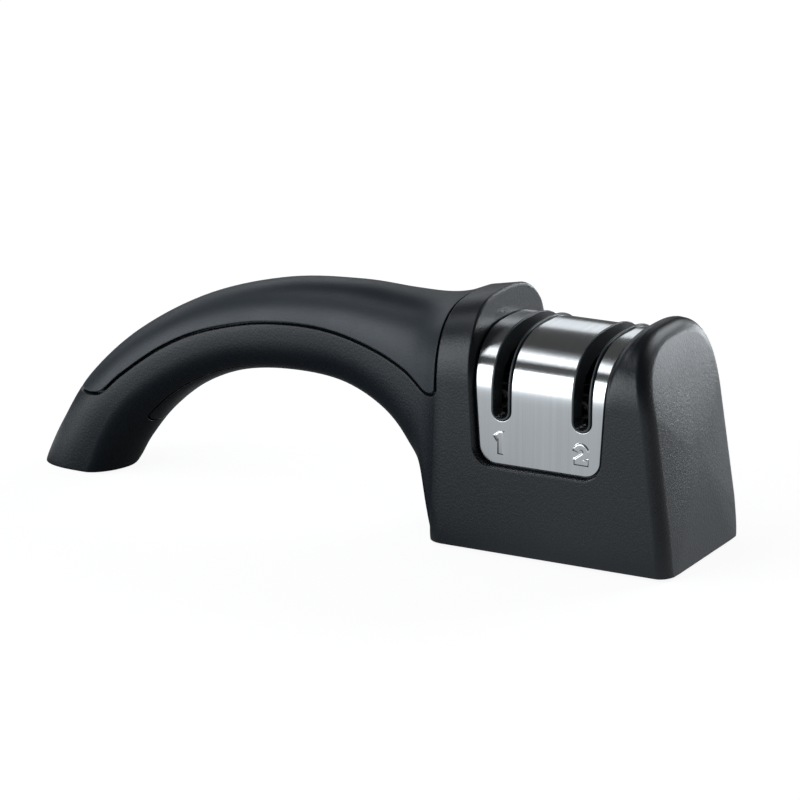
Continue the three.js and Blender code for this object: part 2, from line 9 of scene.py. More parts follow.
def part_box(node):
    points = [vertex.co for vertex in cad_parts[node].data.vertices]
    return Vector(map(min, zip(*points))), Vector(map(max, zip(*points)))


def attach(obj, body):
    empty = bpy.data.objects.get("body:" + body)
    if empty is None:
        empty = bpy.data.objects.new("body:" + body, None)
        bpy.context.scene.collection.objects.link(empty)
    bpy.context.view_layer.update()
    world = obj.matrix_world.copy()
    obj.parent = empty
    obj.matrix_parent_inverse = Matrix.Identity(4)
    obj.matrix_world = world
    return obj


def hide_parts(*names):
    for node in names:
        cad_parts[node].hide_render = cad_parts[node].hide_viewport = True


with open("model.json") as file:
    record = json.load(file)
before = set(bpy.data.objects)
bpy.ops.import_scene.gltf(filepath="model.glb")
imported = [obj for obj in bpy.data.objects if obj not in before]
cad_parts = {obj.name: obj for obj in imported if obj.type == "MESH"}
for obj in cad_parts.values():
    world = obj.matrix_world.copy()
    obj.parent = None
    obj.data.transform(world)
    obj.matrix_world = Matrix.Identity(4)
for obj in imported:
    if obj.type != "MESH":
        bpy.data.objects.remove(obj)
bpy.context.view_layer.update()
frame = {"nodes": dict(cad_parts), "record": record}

scene = bpy.context.scene
mm = 0.001
far = 150.0              # past the object on every side, in millimetres
samePoint = 0.002        # points nearer than this are merged, in millimetres

# Where the frame stands: the knife slots lie midway between their axles
jointPlace = {joint["name"]: joint["pos_m"] for joint in frame["record"]["behaviour"]["joints"]}
stageSides = ["1_left", "1_right", "2_left", "2_right"]
axlePlace = {side: jointPlace[f"wheels_{side}_spin"] for side in stageSides}
slotCentre = [(axlePlace[f"{n}_left"][0] + axlePlace[f"{n}_right"][0]) / 2 / mm for n in (1, 2)]
firstSlot = 56.2         # where the outlines below put slot 1
shiftX = slotCentre[0] - firstSlot
print("frame read, outlines shifted by", round(shiftX, 3), "mm")


# Shared mesh tools; outlines and rings are in millimetres
def spread(start, end, steps):
    # evenly spaced values, both ends among them
    return [start + (end - start) * i / steps for i in range(steps + 1)]


def meshObject(name, points, faces, shift=shiftX):
    mesh = bpy.data.meshes.new(name)
    mesh.from_pydata([((x + shift) * mm, y * mm, z * mm) for x, y, z in points], [], faces)
    mesh.update()
    obj = bpy.data.objects.new(name, mesh)
    scene.collection.objects.link(obj)
    return obj


def turnOutwards(obj):
    bm = bmesh.new()
    bm.from_mesh(obj.data)
    bmesh.ops.remove_doubles(bm, verts=bm.verts, dist=samePoint * mm)
    bmesh.ops.recalc_face_normals(bm, faces=bm.faces)
    bm.to_mesh(obj.data)
    bm.free()
    return obj


def loft(name, rings, shift=shiftX, hoop=False):
    # a skin over rings of equal length, closed by one face at each end, or from the last ring to the first
    count = len(rings[0])
    points = [point for ring in rings for point in ring]
    faces = []
    for r in range(len(rings) if hoop else len(rings) - 1):
        this, after = r * count, (r + 1) % len(rings) * count
        for i in range(count):
            beside = (i + 1) % count
            faces.append((this + i, this + beside, after + beside, after + i))
    if not hoop:
        faces += [tuple(range(count)), tuple(range(len(points) - count, len(points)))]
    return turnOutwards(meshObject(name, points, faces, shift))


def prism(name, outline, axis, low=-far, high=far):
    # an outline drawn out along one axis; its own two axes keep their order
    place = {
        "x": lambda a, b, c: (c, a, b),
        "y": lambda a, b, c: (a, c, b),
        "z": lambda a, b, c: (a, b, c),
    }[axis]
    return loft(name, [[place(a, b, c) for a, b in outline] for c in (low, high)])


def lathe(name, profile, axis, centre=(0, 0, 0), sides=64):
    # a closed profile of (radius, along) points, turned about an axis through a centre in the frame
    rings = []
    for turn in spread(0, 2 * math.pi, sides)[:-1]:
        c, s = math.cos(turn), math.sin(turn)
        ring = [(r * c, along, r * s) if axis == "y" else (r * c, r * s, along) for r, along in profile]
        rings.append([tuple(p + q for p, q in zip(point, centre)) for point in ring])
    return loft(name, rings, 0.0, hoop=True)


def chamfered(radius, bore, low, high, edge):
    # a ring's profile, or a rod's where the bore is 0
    outside = [(radius - edge, low), (radius, low + edge), (radius, high - edge), (radius - edge, high)]
    return [(bore, low)] + outside + [(bore, high)]


def boxOf(node):
    low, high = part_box(node)
    return [c / mm for c in low], [c / mm for c in high]


def offsetOutline(outline, distance):
    # a counter-clockwise outline moved outwards
    moved = []
    for i, (a, b) in enumerate(outline):
        pa, pb = outline[i - 1]
        na, nb = outline[(i + 1) % len(outline)]
        before = Vector((b - pb, pa - a)).normalized()
        after = Vector((nb - b, a - na)).normalized()
        mitre = (before + after) / (1 + before.dot(after))
        moved.append((a + mitre.x * distance, b + mitre.y * distance))
    return moved


def arc(centreA, centreB, radius, start, end, steps):
    turns = [math.radians(degrees) for degrees in spread(start, end, steps)]
    return [(centreA + radius * math.cos(t), centreB + radius * math.sin(t)) for t in turns]


def settle(obj):
    # what the modifiers make becomes the plain mesh
    bpy.context.view_layer.update()
    mesh = bpy.data.meshes.new_from_object(obj.evaluated_get(bpy.context.evaluated_depsgraph_get()))
    obj.modifiers.clear()
    obj.data = mesh
    return obj


def combine(target, operation, *others):
    for other in others:
        cut = target.modifiers.new("cut", "BOOLEAN")
        cut.operation = operation
        cut.solver = "EXACT"
        cut.object = other
        settle(target)
    for other in others:
        bpy.data.objects.remove(other)
    return target


def cutAway(target, *others):
    return combine(target, "DIFFERENCE", *others)


def copyOf(obj, name):
    twin = bpy.data.objects.new(name, obj.data.copy())
    scene.collection.objects.link(twin)
    return twin


def roundEdges(obj, width, segments=3, angle=40, weld=0.04):
    merge = obj.modifiers.new("merge", "WELD")
    merge.merge_threshold = weld * mm
    bevel = obj.modifiers.new("round", "BEVEL")
    bevel.width = width * mm
    bevel.segments = segments
    bevel.limit_method = "ANGLE"
    bevel.angle_limit = math.radians(angle)
    bevel.miter_outer = "MITER_ARC"
    return settle(obj)


def smoothShade(obj, angle=38):
    # large faces keep their own normals beside small roundings
    obj.data.shade_smooth()
    obj.data.set_sharp_from_angle(angle=math.radians(angle))
    weigh = obj.modifiers.new("weigh", "WEIGHTED_NORMAL")
    weigh.keep_sharp = True
    return settle(obj)


# Housing: an arched handle that flares into the head
housing = {
    "standHeight": 0.8, "tipHeight": 0.2, "wall": 2.2,
    "headLeft": 32.6, "headRight": 110.3, "baseWidth": 51.98, "springWidth": 50, "springHeight": 45,
    "shoulderTop": 71.9, "shoulderSlope": 0.2, "shoulderLean": 4.4, "crownPower": 2.8, "sidePower": 16,
    "cornerFillet": 4, "cornerFilletLeft": 5.6, "trimDepth": 2.5, "tipWidth": 26.4, "handleWidth": 27,
    "endTop": 67.5, "endLean": 0.165, "endCrown": 0.75, "endBow": 1.5, "endTopFillet": 3.2,
    "endCrease": 70, "creaseShare": 0.985, "faceRings": 9, "innerShare": 0.1,
    "stepsPerSection": 8, "leftSteps": 12, "endSteps": 14, "ringPoints": 112,
}
handleSections = [       # top x, z; under x, z; share of the flare; widest at; top and under powers
    ((-108.3, -1.7), (-82.0, -1.7), 0, 0.31, 2.85, 1.7),
    ((-106.9, 3.0), (-79.4, 1.8), 0, 0.32, 2.85, 1.75),
    ((-101.6, 13.6), (-74.9, 9.2), 0, 0.37, 2.75, 1.85),
    ((-91.6, 29.2), (-66.6, 19.6), 0, 0.42, 2.65, 2.05),
    ((-74.9, 44.7), (-55.0, 29.2), 0, 0.45, 2.5, 2.4),
    ((-52.5, 57.5), (-39.5, 36.4), 0, 0.47, 2.4, 2.5),
    ((-27.0, 65.2), (-22.5, 39.1), 0, 0.48, 2.4, 2.6),
    ((-3.0, 67.6), (-4.5, 38.0), 0, 0.48, 2.4, 2.6),
    ((13.5, 67.1), (10.0, 32.2), 0.13, 0.5, 2.5, 2.8),
    ((24.0, 66.9), (20.6, 23.6), 0.37, 0.54, 2.6, 3.4),
    ((31.0, 67.8), (28.4, 13.0), 0.67, 0.6, 2.7, 5),
]
tipSections = 3          # the first ones have the tip's width
steelLeftTop = 46.4      # the recess begins here at the shoulder's top

headUnder = housing["standHeight"] - housing["trimDepth"]
spring = housing["springHeight"]
endFace = housing["headRight"] - housing["endCrown"]
headFlare = (housing["baseWidth"] / housing["springWidth"] - 1) * (spring - headUnder) / spring


def headSection(topX, topZ, underX, width, flare):
    widest = (spring - headUnder) / (topZ - headUnder)
    return (topX, topZ, underX, headUnder, width, widest, housing["crownPower"], housing["sidePower"], flare)


def leftSection(degrees):
    turn = math.radians(degrees)
    x = housing["headLeft"] + housing["cornerFilletLeft"] * (1 - math.cos(turn))
    inset = housing["cornerFilletLeft"] * (1 - math.sin(turn))
    topX = x + housing["shoulderLean"]
    topZ = housing["shoulderTop"] - housing["shoulderSlope"] * (steelLeftTop - topX)
    return headSection(topX, topZ, x, housing["springWidth"], headFlare - 2 * inset / housing["springWidth"])


def endSection(degrees):
    turn, crease = math.radians(degrees), math.radians(housing["endCrease"])
    inward = 1 - math.sin(turn) / math.sin(crease)
    drop = (1 - math.cos(turn)) / (1 - math.cos(crease))
    topZ = housing["endTop"] - housing["endTopFillet"] * drop
    underX = endFace + housing["endLean"] * housing["trimDepth"] - housing["cornerFillet"] * inward
    topX = endFace - housing["endLean"] * (topZ - housing["standHeight"]) - housing["endTopFillet"] * inward
    width = housing["springWidth"] - 2 * housing["cornerFillet"] * drop
    return headSection(topX, topZ, underX, width, headFlare)


def handleSection(number):
    (topX, topZ), (underX, underZ), share, widest, topPower, underPower = handleSections[number]
    width = housing["tipWidth"] if number < tipSections else housing["handleWidth"]
    width += (housing["springWidth"] - housing["handleWidth"]) * share
    return (topX, topZ, underX, underZ, width, widest, topPower, underPower, 0)


mainSections = [handleSection(n) for n in range(len(handleSections))] + [leftSection(0)]
lastSection = len(mainSections) - 1


def blendAt(track, number):
    # a smooth curve through rows of values, at a place between two of them
    i = min(int(number), len(track) - 2)
    t = number - i
    p1, p2 = track[i], track[i + 1]
    p0 = track[i - 1] if i > 0 else [2 * a - b for a, b in zip(p1, p2)]
    p3 = track[i + 2] if i + 2 < len(track) else [2 * b - a for a, b in zip(p1, p2)]
    blended = []
    for a, b, c, d in zip(p0, p1, p2, p3):
        startSlope, endSlope = (c - a) / 2, (d - b) / 2
        cubic = 2 * b - 2 * c + startSlope + endSlope
        square = -3 * b + 3 * c - 2 * startSlope - endSlope
        blended.append(b + startSlope * t + square * t * t + cubic * t ** 3)
    return blended


def sectionAt(number):
    return blendAt(mainSections, number)


def sectionRing(section, inset=0.0):
    # an egg on the line from the section's under edge to its top edge
    topX, topZ, underX, underZ, width, widestShare, topPower, underPower, flare = section
    under = Vector((underX, underZ))
    along = Vector((topX, topZ)) - under
    height = along.length
    along.normalize()
    widest = widestShare * height
    ring = []
    for turn in spread(0, 2 * math.pi, housing["ringPoints"])[:-1]:
        c, s = math.cos(turn), math.sin(turn)
        power = topPower if s >= 0 else underPower
        reach = (height - widest if s >= 0 else widest) - inset
        rise = math.copysign(abs(s) ** (2 / power), s) * reach
        taper = 1 - flare * rise / widest if s < 0 else 1
        across = math.copysign(abs(c) ** (2 / power), c) * (width / 2 - inset) * taper
        at = under + along * (widest + rise)
        ring.append((at.x, across, at.y))
    return ring


def endBow(z):
    share = min(max(z / housing["endTop"], 0), 1)
    return 4 * housing["endBow"] * share * (1 - share)


def handleToHead():
    # sections from the handle's tip to the end of the head's left corners
    handle = [sectionAt(n) for n in spread(0, lastSection, lastSection * housing["stepsPerSection"])]
    return handle + [leftSection(d) for d in spread(0, 90, housing["leftSteps"])[1:]]


def shoulderSection():
    return headSection(steelLeftTop, housing["shoulderTop"], steelLeftTop, housing["springWidth"], headFlare)


def bodyRings():
    # the sections, then the right end's rounding, then rings that close its bulging face
    rings = [sectionRing(section) for section in handleToHead() + [shoulderSection()]]
    for degrees in spread(0, housing["endCrease"], housing["endSteps"]):
        rings.append([(x + endBow(z), y, z) for x, y, z in sectionRing(endSection(degrees))])
    rim = rings[-1]
    middleZ = sum(z for x, y, z in rim) / len(rim)
    shares = spread(1, housing["innerShare"], housing["faceRings"])[1:]
    for share in [housing["creaseShare"]] + shares:
        ring = []
        for x, y, z in rim:
            inZ = middleZ + (z - middleZ) * share
            flat = endFace - housing["endLean"] * (inZ - housing["standHeight"]) + endBow(inZ)
            ring.append((flat + housing["endCrown"] * (1 - share * share), y * share, inZ))
        rings.append(ring)
    return rings


def slab(name, x0, x1, y0, y1, z0, z1):
    return prism(name, [(x0, y0), (x1, y0), (x1, y1), (x0, y1)], "z", z0, z1)


blank = loft("blank", bodyRings())
cutAway(blank, slab("under tip", -far, 0, -far, far, -far, housing["tipHeight"]),
        slab("under head", 0, far, -far, far, -far, housing["standHeight"]))
print("housing blank:", len(blank.data.polygons), "faces")


# Steel saddle over the head, and the recess that it lies in
saddle = {
    "thickness": 0.8, "depth": 2, "top": 63.7, "power": 2.6, "archSteps": 72, "seatGap": 0.3,
    "left": (49.4, steelLeftTop), "right": (87.2, 89.7), "bottom": 26.6, "corner": 5, "cornerSteps": 10,
    "edgeRound": 0.3, "margin": 0.5, "draft": 1.1, "draftLift": 0.85, "draftDepth": 2, "mouthRound": 0.55,
    "round": 4, "roundGap": 0.6, "roundSteps": 16, "roundLift": 0.04, "shoulderRound": 0.9, "solveSteps": 24,
}
headHalf = housing["springWidth"] / 2
steelHalf = headHalf - saddle["depth"]
recessFloor = saddle["thickness"] + saddle["seatGap"]


def archOutline(baseHalf, springHalf, top, power, bottom=-far):
    # two points at the bottom, then the crown from one spring to the other
    crown = []
    for turn in spread(0, math.pi, saddle["archSteps"]):
        c, s = math.cos(turn), math.sin(turn)
        y = math.copysign(springHalf * abs(c) ** (2 / power), c)
        crown.append((y, spring + (top - spring) * abs(s) ** (2 / power)))
    return [(-baseHalf, bottom), (baseHalf, bottom)] + crown


def steelArch(inset):
    half = steelHalf - inset
    outline = archOutline(half, half, saddle["top"] - inset, saddle["power"])
    return prism("arch", outline, "x")


def saddleOutline(grow):
    # seen from the front: edges that lean apart upwards, and round lower corners
    (leftLow, leftTop), (rightLow, rightTop) = saddle["left"], saddle["right"]
    low, r = saddle["bottom"], saddle["corner"]
    height = housing["shoulderTop"] - low
    top = housing["shoulderTop"] + saddle["round"]
    leanLeft, leanRight = (leftTop - leftLow) / height, (rightTop - rightLow) / height
    steps = saddle["cornerSteps"]
    outline = arc(leftLow + r, low + r, r, 180, 270, steps) + arc(rightLow - r, low + r, r, 270, 360, steps)
    outline += [(rightLow + leanRight * (top - low), top), (leftLow + leanLeft * (top - low), top)]
    return offsetOutline(outline, grow)


def saddlePrism(grow):
    return prism("saddle face", saddleOutline(grow), "y")


def roundedDrop(edge, r, way, before):
    # places along x and the drop at each, for an edge's quarter round that is carried on past both its ends
    lift = saddle["roundLift"]
    steps = [(edge - way * before * r, r)]
    for turn in spread(0, math.pi / 2, saddle["roundSteps"]):
        steps.append((edge + way * r * (1 - math.cos(turn)), r * (1 - math.sin(turn)) - lift))
    return steps + [(edge + way * 2 * r, -lift)]


def endRound():
    # the end's upper edge, rounded along its crown: a block less an arch that drops towards the steel
    r, top = saddle["round"], housing["endTop"]
    start = saddle["right"][1] + saddle["roundGap"]
    rings = []
    for x, inset in roundedDrop(start, r, way=1, before=3):
        outline = archOutline(far, headHalf, top - inset, housing["crownPower"])
        rings.append([(x, y, z) for y, z in outline])
    block = slab("end block", start - 2 * r, start + r, -far, far, spring, top + r)
    return cutAway(block, loft("end arch", rings))


def crownAt(x, y):
    # the shoulder's height between its left corner and the recess, where it leans and slopes
    first, last = leftSection(90), shoulderSection()
    power = housing["crownPower"]
    rise = max(1 - abs(2 * y / housing["springWidth"]) ** power, 0) ** (1 / power)
    low, high = 0.0, 1.0
    for _ in range(saddle["solveSteps"]):
        share = (low + high) / 2
        topX, topZ, underX = [a + (b - a) * share for a, b in zip(first[:3], last[:3])]
        z = spring + (topZ - spring) * rise
        if underX + (topX - underX) * (z - headUnder) / (topZ - headUnder) < x:
            low = share
        else:
            high = share
    return z, rise


def shoulderRound():
    # the shoulder's inner edge, rounded in the same way along its leaning wall
    r, top = saddle["shoulderRound"], housing["shoulderTop"]
    leftLow, leftTop = saddle["left"]
    lean = (leftTop - leftLow) / (top - saddle["bottom"])
    wall = leftTop - saddle["margin"]
    outline = archOutline(far, headHalf, top, housing["crownPower"])
    rings = []
    for x, inset in roundedDrop(wall, r, way=-1, before=4):
        ring = [(x, y, z) for y, z in outline[:2]]
        for y, _ in outline[2:]:
            at = x + lean * (crownAt(x, y)[0] - top)
            z, rise = crownAt(at, y)
            ring.append((at, y, z - inset * rise))
        rings.append(ring)
    block = [(x + lean * (z - top), z) for x, z in
             [(wall - r, spring), (wall + 3 * r, spring), (wall + 3 * r, top + r), (wall - r, top + r)]]
    return cutAway(prism("shoulder block", block, "y"), loft("shoulder arch", rings))


def recessCutter():
    # straight walls round the steel, a mouth that widens outwards, and the two rounded edges
    deep, wide, lift = steelHalf - saddle["draftDepth"], housing["baseWidth"] / 2, saddle["draftLift"]
    narrow, broad = [saddleOutline(saddle["margin"] + grow) for grow in (0, saddle["draft"])]
    cutter = saddlePrism(saddle["margin"])
    for side in (-1, 1):
        inner = [(x, side * deep, z) for x, z in narrow]
        outer = [(x, side * wide, z + lift) for x, z in broad]
        combine(cutter, "UNION", loft("mouth", [inner, outer]))
    combine(cutter, "UNION", endRound(), shoulderRound())
    return cutAway(cutter, steelArch(recessFloor))


# Knife slots, and the liners that edge them
slots = {
    "width": 6.1, "bottom": 39.3, "gap": 4.6, "rim": 0.6, "depth": 5.2, "fit": 0.1,
    "rimRound": 0.2, "arcSteps": 24,
}
ownSlots = [centre - shiftX for centre in slotCentre]


def slotPrism(centre, half):
    outline = arc(centre, slots["bottom"] + slots["width"] / 2, half, 180, 360, slots["arcSteps"])
    return prism("slot", outline + [(centre + half, far), (centre - half, far)], "y")


def slotCuts():
    return [slotPrism(centre, slots["width"] / 2) for centre in ownSlots]


# Hollow of the head, at the wall's distance from the outside and from the recess
hollow = {"leftWall": 6.8, "endWall": 3.2, "floor": -1}


def headHollow():
    wall, lean = housing["wall"], housing["endLean"]
    left = housing["headLeft"] + hollow["leftWall"]
    right = endFace - hollow["endWall"]
    half = housing["baseWidth"] / 2 - wall
    outline = archOutline(half, headHalf - wall, housing["endTop"] - wall, housing["crownPower"],
                          hollow["floor"])
    room = prism("hollow", outline, "x")
    ends = [(left, -far), (right + far * lean, -far), (right - far * lean, far), (left, far)]
    combine(room, "INTERSECT", prism("hollow ends", ends, "y"))
    kept = cutAway(saddlePrism(saddle["margin"] + wall), steelArch(recessFloor + wall))
    return cutAway(room, kept)


# Soft grip on top of the handle: its edge from the front, then a round tip at the head
grip = {
    "thickness": 2.2, "groove": 0.95, "edgeRound": 0.32, "endHeight": 25.4, "edgeSteps": 9,
    "right": 35.7, "tipHeight": 44.3, "tipRadius": 1.9, "tipStretch": 1.9, "tipFrom": -131, "tipSteps": 16,
    "edge": [(-87.5, 25.4), (-83.2, 26.6), (-75.9, 33.1), (-62.5, 42.9), (-48.6, 49.8), (-31.0, 54.7),
             (-14.8, 56.2), (-1.5, 55.2), (11.6, 52.2), (22.0, 48.7), (26.5, 46.5)],
}


def gripPrism(grow):
    # the tip's arc is drawn out along x, because the surface turns away there
    r = grip["tipRadius"]
    corner = arc(-r, grip["tipHeight"] + r, r, grip["tipFrom"], 0, grip["tipSteps"])
    tip = [(grip["right"] + x * grip["tipStretch"], z) for x, z in corner]
    last = len(grip["edge"]) - 1
    edge = [blendAt(grip["edge"], number) for number in spread(0, last, last * grip["edgeSteps"])]
    outline = [(-far, grip["endHeight"])] + edge + tip + [(grip["right"], far), (-far, far)]
    return prism("grip outline", offsetOutline(outline, grow), "y")


def gripCore(inset):
    return loft("grip core", [sectionRing(section, inset) for section in handleToHead()])


# Cover let into the arch's underside, with round ends
cover = {
    "from": 2.75, "to": 9.1, "width": 20, "thickness": 2, "groove": 0.4, "steps": 90,
    "endRound": 9.0, "endFlat": 7.0, "edgeRound": 0.3,
}


def underPoint(number):
    return Vector(sectionAt(number)[2:4])


def sectionLength(number):
    # along the underside, over one step of the section's number
    return (underPoint(number + 0.5) - underPoint(number - 0.5)).length


def underStrip(grow, outside, inside):
    # a strip that follows the underside, grown by some millimetres all round
    start = cover["from"] - grow / sectionLength(cover["from"])
    end = cover["to"] + grow / sectionLength(cover["to"])
    rings = []
    for turn in spread(0, math.pi, cover["steps"]):
        number = start + (end - start) * (1 - math.cos(turn)) / 2
        topX, topZ, underX, underZ = sectionAt(number)[:4]
        under = Vector((underX, underZ))
        along = (Vector((topX, topZ)) - under).normalized()
        fromEnd = min((under - underPoint(start)).length, (under - underPoint(end)).length)
        short = 1 - min(fromEnd / cover["endRound"], 1)
        rounded = (cover["width"] - cover["endFlat"]) * math.sqrt(1 - short * short)
        half = (cover["endFlat"] + rounded) / 2 + grow
        corners = [(half, inside), (-half, inside), (-half, -outside), (half, -outside)]
        rings.append([(underX + along.x * d, y, underZ + along.y * d) for y, d in corners])
    return loft("strip", rings)


# Main housing: recess first, its mouth rounded, then the hollow, slots and pockets
main = copyOf(blank, "housing_shell")
cutAway(main, recessCutter())
roundEdges(main, saddle["mouthRound"], segments=4, angle=28)
print("recess cut:", len(main.data.polygons), "faces")
cutAway(main, headHollow(), *slotCuts())
gripPocket = cutAway(gripPrism(grip["groove"]), gripCore(grip["thickness"] + saddle["seatGap"]))
coverPocket = underStrip(cover["groove"], 2 * cover["thickness"], cover["thickness"] + saddle["seatGap"])
cutAway(main, gripPocket, coverPocket)
smoothShade(main)
print("housing:", len(main.data.polygons), "faces")

gripPiece = combine(copyOf(blank, "soft_grip_skin"), "INTERSECT", gripPrism(0))
cutAway(gripPiece, gripCore(grip["thickness"]))
roundEdges(gripPiece, grip["edgeRound"])
smoothShade(gripPiece)
print("grip:", len(gripPiece.data.polygons), "faces")

coverPiece = combine(copyOf(blank, "arch_cover"), "INTERSECT",
                     underStrip(0, cover["thickness"], cover["thickness"]))
roundEdges(coverPiece, cover["edgeRound"])
smoothShade(coverPiece)
bpy.data.objects.remove(blank)
print("arch cover:", len(coverPiece.data.polygons), "faces")

# Saddle of folded sheet, with the knife slots cut in
saddlePiece = cutAway(steelArch(0), steelArch(saddle["thickness"]))
saddlePiece.name = "folded_steel_saddle"
combine(saddlePiece, "INTERSECT", saddlePrism(0))
cutAway(saddlePiece, *slotCuts())
roundEdges(saddlePiece, saddle["edgeRound"])
smoothShade(saddlePiece, angle=25)
print("saddle:", len(saddlePiece.data.polygons), "faces")

liners = []
for number, centre in enumerate(ownSlots, 1):
    sleeve = cutAway(steelArch(-slots["rim"]), steelArch(slots["depth"]))
    combine(sleeve, "INTERSECT", slotPrism(centre, slots["width"] / 2 - slots["fit"]))
    cutAway(sleeve, slotPrism(centre, slots["gap"] / 2))
    sleeve.name = f"slot_edging_{number}"
    roundEdges(sleeve, slots["rimRound"], segments=4)
    liners.append(smoothShade(sleeve, angle=50))
print("slot liners:", [len(liner.data.polygons) for liner in liners], "faces")


# Stage numbers pressed out of the sheet: ridges along strokes, in millimetres about the middle of their feet
marks = {
    "low": 29.9, "centres": (56.2, 81.3), "height": 6.0,
    "half": 0.62, "slope": 0.5, "rise": 0.32, "sink": 0.1,
    "profile": [(1, 0), (0.7, 0.22), (0.4, 0.66), (0.15, 0.92), (-0.3, 1)],     # shares of slope and rise
    "flag": [(-1.6, -1.7), (-0.5, -0.9)],                                       # from the top of the 1
    "bowl": 1.5, "bowlTurn": (170, -40), "bowlSteps": 18, "neck": -1.5,         # of the 2
    "foot": (-1.75, 1.9), "footLift": 0.3,
}


def strokes(number):
    half, height, bowl = marks["half"], marks["height"], marks["bowl"]
    if number == 1:
        flag = [(x, height + z) for x, z in marks["flag"]]
        return [[(0, 0), (0, height)], flag + [(0, height - half)]]
    footZ = half + marks["footLift"]
    curve = arc(0, height - bowl - half, bowl, *marks["bowlTurn"], marks["bowlSteps"])
    return [curve + [(marks["neck"], footZ)], [(x, footZ) for x in marks["foot"]]]


def ridge(name, path, centre):
    # a low ridge with round shoulders along one stroke, sloped off at both ends
    half, slope = marks["half"], marks["slope"]
    side = [(half + slope * out, marks["rise"] * up) for out, up in marks["profile"]]
    side.insert(0, (half + slope, -marks["sink"]))
    section = [(-a, b) for a, b in side] + side[::-1]
    points = [Vector(point) for point in path]
    ways = [(b - a).normalized() for a, b in zip(points, points[1:])]
    rings = []
    for i, point in enumerate(points):
        into, onward = ways[max(i - 1, 0)], ways[min(i, len(ways) - 1)]
        mitre = (into + onward) / (1 + into.dot(onward))
        rings.append([(point + Vector((-mitre.y, mitre.x)) * a, b) for a, b in section])
    for end, way in ((0, -ways[0]), (-1, ways[-1])):
        flat = [(at + way * slope, min(b, 0)) for at, b in rings[end]]
        rings.insert(0 if end == 0 else len(rings), flat)
    low = marks["low"]
    return loft(name, [[(centre + at.x, -steelHalf - b, low + at.y) for at, b in ring] for ring in rings])


markPieces = []
for number, centre in enumerate(marks["centres"], 1):
    first, second = [ridge(f"stage_mark_{number}", path, centre) for path in strokes(number)]
    markPieces.append(smoothShade(combine(first, "UNION", second), angle=60))
print("stage marks:", [len(piece.data.polygons) for piece in markPieces], "faces")


# Materials
def hexColour(code):
    channels = [int(code[i:i + 2], 16) / 255 for i in (1, 3, 5)]
    return tuple(c / 12.92 if c <= 0.04045 else ((c + 0.055) / 1.055) ** 2.4 for c in channels) + (1.0,)


def addNode(tree, kind, inputs=None, **settings):
    # an input is a plain value, a socket, or a node that gives its first output
    node = tree.nodes.new(kind)
    for key, value in settings.items():
        setattr(node, key, value)
    for key, value in (inputs or {}).items():
        value = value.outputs[0] if isinstance(value, bpy.types.Node) else value
        if isinstance(value, bpy.types.NodeSocket):
            tree.links.new(value, node.inputs[key])
        else:
            node.inputs[key].default_value = value
    return node


def newFinish(name):
    material = bpy.data.materials.new(name)
    material.use_nodes = True
    material.node_tree.nodes.clear()
    return material, material.node_tree


def closeFinish(material, values):
    # the shader and the output come after the nodes that feed them
    tree = material.node_tree
    bsdf = addNode(tree, "ShaderNodeBsdfPrincipled", values)
    addNode(tree, "ShaderNodeOutputMaterial", {"Surface": bsdf})
    return material


plastic = {"roughSwing": 0.07, "noiseSpan": (0.6, 1.4), "edgeSamples": 6}      # span of two noises added


def mouldedPlastic(name, code, roughness, grain, relief, patch, ior=1.53, edge=0.2):
    # spark-eroded grain, faint broad patches where the tool is smoother, and edges that catch the light.
    # Real grain is too fine to show, so it is drawn a few times as coarse; sizes are in millimetres
    material, tree = newFinish(name)
    place = addNode(tree, "ShaderNodeTexCoord").outputs["Object"]
    speck = addNode(tree, "ShaderNodeTexNoise", {
        "Vector": place, "Scale": 1 / (grain * mm), "Detail": 3.0, "Roughness": 0.6})
    broad = addNode(tree, "ShaderNodeTexNoise", {"Vector": place, "Scale": 1 / (patch * mm), "Detail": 2.0})
    both = addNode(tree, "ShaderNodeMath", {0: speck, 1: broad}, operation="ADD")
    (low, high), swing = plastic["noiseSpan"], plastic["roughSwing"]
    rough = addNode(tree, "ShaderNodeMapRange", {
        "Value": both, "From Min": low, "From Max": high,
        "To Min": roughness - swing, "To Max": roughness + swing})
    soft = addNode(tree, "ShaderNodeBevel", {"Radius": edge * mm}, samples=plastic["edgeSamples"])
    bump = addNode(tree, "ShaderNodeBump", {"Height": speck, "Distance": relief * mm, "Normal": soft})
    return closeFinish(material, {
        "Base Color": hexColour(code), "IOR": ior, "Roughness": rough, "Normal": bump})


# Black ABS from a spark-eroded tool: a fine even grain, dull on the flats
housingFinish = mouldedPlastic("moulded_black_abs", "#11171d", roughness=0.36, grain=0.7, relief=0.065,
                               patch=30, ior=1.47, edge=0.6)
# Soft-touch TPE: denser and duller than the ABS beside it
gripFinish = mouldedPlastic("soft_touch_tpe", "#232a31", roughness=0.45, grain=0.6, relief=0.022,
                            patch=24, ior=1.48, edge=0.5)
# Satin nylon of the slot liners: nearly black, with soft small reflections
linerFinish = mouldedPlastic("satin_black_nylon", "#2a3034", roughness=0.34, grain=0.6, relief=0.05,
                             patch=12)

# Stainless sheet brushed over the arch: fine lines along it, and reflections that smear across them.
# Real lines are too fine to show, so they are drawn several times as wide
brushing = {
    "line": 0.28, "length": 55, "band": 1.3, "bandLength": 110, "noiseSpan": (0.7, 1.3), "relief": 0.0005,
    "colour": "#d4d6d7", "dark": "#cccecf", "roughness": 0.18, "roughSwing": 0.025, "anisotropy": 0.75,
}


